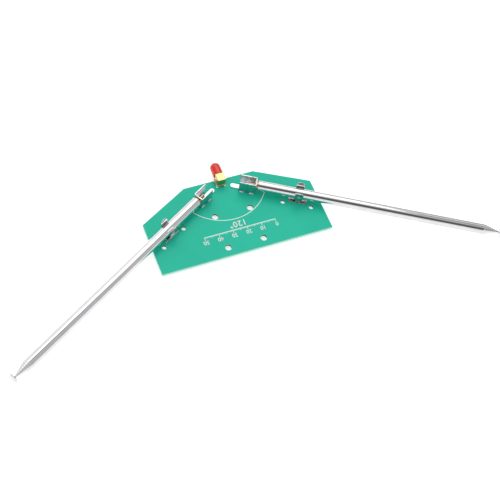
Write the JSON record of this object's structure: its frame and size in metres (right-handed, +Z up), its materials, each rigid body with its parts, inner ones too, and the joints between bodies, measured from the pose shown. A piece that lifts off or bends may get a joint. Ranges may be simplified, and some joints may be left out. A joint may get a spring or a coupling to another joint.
{
  "type": "v-dipole rabbit ears antenna",
  "caption": "V-dipole rabbit ears antenna: telescopic rods splayed at 120 degrees on a drilled circuit board, with a right-angle coaxial jack under a push-on cap.",
  "frame": {"origin": "centre of the four mounting holes, on the underside of the board", "axes": "+X to the right rod's side, +Y towards the coaxial jack, +Z up out of the board's printed face"},
  "size_m": [0.3358, 0.1127, 0.0145],
  "materials": {
    "green_board": "glossy teal green solder mask on glass fibre laminate",
    "tinned_copper": "tinned copper",
    "white_ink": "white screen print",
    "solder": "bright solder",
    "gold_plate": "gold plated brass",
    "ptfe": "white PTFE",
    "gold_contact": "gold plated contact",
    "red_vinyl": "glossy soft vinyl",
    "tinned_sheet": "bright tinned sheet steel",
    "turned_brass": "turned brass",
    "nickel_spring": "polished nickel plated spring brass",
    "chromed_tube": "bright chrome plate on drawn brass",
    "chromed_section": "bright chrome plate on drawn brass",
    "bronze_bush": "phosphor bronze",
    "chromed_button": "bright chrome plate on turned brass"
  },
  "bodies": {
    "board": {"circuit_board": "green_board", "solder_pads": "tinned_copper", "printed_scale": "white_ink", "solder_joints": "solder", "jack_body": "gold_plate", "jack_insulator": "ptfe", "jack_contact": "gold_contact", "left_bracket": "tinned_sheet", "left_base_plug": "turned_brass", "left_clip": "nickel_spring", "left_outer_tube": "chromed_tube", "right_bracket": "tinned_sheet", "right_base_plug": "turned_brass", "right_clip": "nickel_spring", "right_outer_tube": "chromed_tube"},
    "dust_cap": {"dust_cap": "red_vinyl"},
    "left_section_2": {"left_section_2": "chromed_section", "left_bush_2": "bronze_bush"},
    "left_section_3": {"left_section_3": "chromed_section", "left_bush_3": "bronze_bush"},
    "left_section_4": {"left_section_4": "chromed_section", "left_bush_4": "bronze_bush"},
    "left_section_5": {"left_section_5": "chromed_section", "left_bush_5": "bronze_bush"},
    "left_section_6": {"left_section_6": "chromed_section", "left_bush_6": "bronze_bush"},
    "left_section_7": {"left_section_7": "chromed_section", "left_bush_7": "bronze_bush", "left_tip_button": "chromed_button"},
    "right_section_2": {"right_section_2": "chromed_section", "right_bush_2": "bronze_bush"},
    "right_section_3": {"right_section_3": "chromed_section", "right_bush_3": "bronze_bush"},
    "right_section_4": {"right_section_4": "chromed_section", "right_bush_4": "bronze_bush"},
    "right_section_5": {"right_section_5": "chromed_section", "right_bush_5": "bronze_bush"},
    "right_section_6": {"right_section_6": "chromed_section", "right_bush_6": "bronze_bush"},
    "right_section_7": {"right_section_7": "chromed_section", "right_bush_7": "bronze_bush", "right_tip_button": "chromed_button"}
  },
  "joints": [
    {"name": "left_section_2_slide", "type": "slide", "parent": "board", "child": "left_section_2", "axis": [-0.866, -0.5, 0], "range_m": [0, 0.14]},
    {"name": "left_section_3_slide", "type": "slide", "parent": "left_section_2", "child": "left_section_3", "axis": [-0.866, -0.5, 0], "range_m": [0, 0.14]},
    {"name": "left_section_4_slide", "type": "slide", "parent": "left_section_3", "child": "left_section_4", "axis": [-0.866, -0.5, 0], "range_m": [0, 0.14]},
    {"name": "left_section_5_slide", "type": "slide", "parent": "left_section_4", "child": "left_section_5", "axis": [-0.866, -0.5, 0], "range_m": [0, 0.14]},
    {"name": "left_section_6_slide", "type": "slide", "parent": "left_section_5", "child": "left_section_6", "axis": [-0.866, -0.5, 0], "range_m": [0, 0.14]},
    {"name": "left_section_7_slide", "type": "slide", "parent": "left_section_6", "child": "left_section_7", "axis": [-0.866, -0.5, 0], "range_m": [0, 0.14]},
    {"name": "right_section_2_slide", "type": "slide", "parent": "board", "child": "right_section_2", "axis": [0.866, -0.5, 0], "range_m": [0, 0.14]},
    {"name": "right_section_3_slide", "type": "slide", "parent": "right_section_2", "child": "right_section_3", "axis": [0.866, -0.5, 0], "range_m": [0, 0.14]},
    {"name": "right_section_4_slide", "type": "slide", "parent": "right_section_3", "child": "right_section_4", "axis": [0.866, -0.5, 0], "range_m": [0, 0.14]},
    {"name": "right_section_5_slide", "type": "slide", "parent": "right_section_4", "child": "right_section_5", "axis": [0.866, -0.5, 0], "range_m": [0, 0.14]},
    {"name": "right_section_6_slide", "type": "slide", "parent": "right_section_5", "child": "right_section_6", "axis": [0.866, -0.5, 0], "range_m": [0, 0.14]},
    {"name": "right_section_7_slide", "type": "slide", "parent": "right_section_6", "child": "right_section_7", "axis": [0.866, -0.5, 0], "range_m": [0, 0.14]},
    {"name": "dust_cap_pull", "type": "slide", "parent": "board", "child": "dust_cap", "axis": [0, 1, 0], "range_m": [0, 0.014]}
  ]
}
